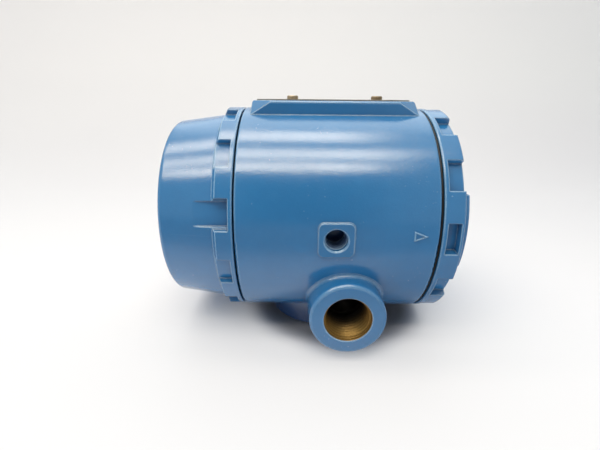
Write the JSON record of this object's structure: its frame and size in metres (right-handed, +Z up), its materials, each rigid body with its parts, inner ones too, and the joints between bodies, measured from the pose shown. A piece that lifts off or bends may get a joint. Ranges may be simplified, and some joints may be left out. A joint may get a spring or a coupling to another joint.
{
  "type": "temperature transmitter",
  "caption": "Field temperature transmitter: cast barrel on a round foot, screwed covers with castellated rims, side conduit entries, bracket holes and a bare nameplate on a pad.",
  "frame": {"origin": "centre of the foot's flat underside", "axes": "+Z up; +X along the barrel towards the terminal cover; -Y along the front conduit entry and the front bracket hole, out of their mouths"},
  "size_m": [0.1328, 0.112, 0.1132],
  "materials": {
    "blue_paint": "semi-gloss blue enamel over an aluminium casting",
    "plate": "satin",
    "screw_steel": "satin",
    "nickel_brass": "satin",
    "window_glass": "clear",
    "rubber": "matte",
    "black_plastic": "moulded, matte",
    "light_plastic": "moulded, matte",
    "panel_glass": "glossy liquid-crystal panel, off",
    "insulator": "moulded"
  },
  "bodies": {
    "transmitter_body": {"housing": "blue_paint", "nameplate": "plate", "nameplate_screws": "nickel_brass", "electronics_module": "black_plastic", "module_screws": "screw_steel", "display_housing": "black_plastic", "display_panel": "panel_glass", "display_screws": "screw_steel", "display_plug": "black_plastic", "feedthrough": "insulator", "feedthrough_pins": "nickel_brass", "terminal_block": "black_plastic", "terminal_clamps": "nickel_brass", "terminal_screws": "screw_steel", "block_screws": "screw_steel", "ground_clamp": "nickel_brass", "ground_screw": "screw_steel"},
    "display_cover_carriage": {"display_seal": "rubber"},
    "display_cover_body": {"display_cover": "blue_paint", "window_glass": "window_glass", "window_gasket": "rubber", "window_retainer": "screw_steel"},
    "terminal_cover_carriage": {"terminal_seal": "rubber"},
    "terminal_cover_body": {"terminal_cover": "blue_paint"},
    "alarm_switch_knob": {"alarm_switch": "light_plastic"},
    "security_switch_knob": {"security_switch": "light_plastic"}
  },
  "joints": [
    {"name": "display_cover_travel", "type": "slide", "parent": "transmitter_body", "child": "display_cover_carriage", "axis": [-1, 0, 0], "range_m": [0, 0.01101]},
    {"name": "display_cover_turn", "type": "hinge", "parent": "display_cover_carriage", "child": "display_cover_body", "pos_m": [-0.0386, 0, 0.0565], "axis": [-1, 0, 0], "range_deg": [0, 1980]},
    {"name": "terminal_cover_travel", "type": "slide", "parent": "transmitter_body", "child": "terminal_cover_carriage", "axis": [1, 0, 0], "range_m": [0, 0.01101]},
    {"name": "terminal_cover_turn", "type": "hinge", "parent": "terminal_cover_carriage", "child": "terminal_cover_body", "pos_m": [0.0454, 0, 0.0565], "axis": [1, 0, 0], "range_deg": [0, 1980]},
    {"name": "alarm_switch_slide", "type": "slide", "parent": "transmitter_body", "child": "alarm_switch_knob", "axis": [0, 1, 0], "range_m": [0, 0.003]},
    {"name": "security_switch_slide", "type": "slide", "parent": "transmitter_body", "child": "security_switch_knob", "axis": [0, 1, 0], "range_m": [0, 0.003]}
  ],
  "couplings": [
    {"joint": "display_cover_travel", "follows": "display_cover_turn", "m_per_rad": 0.00031831},
    {"joint": "terminal_cover_travel", "follows": "terminal_cover_turn", "m_per_rad": 0.00031831}
  ]
}
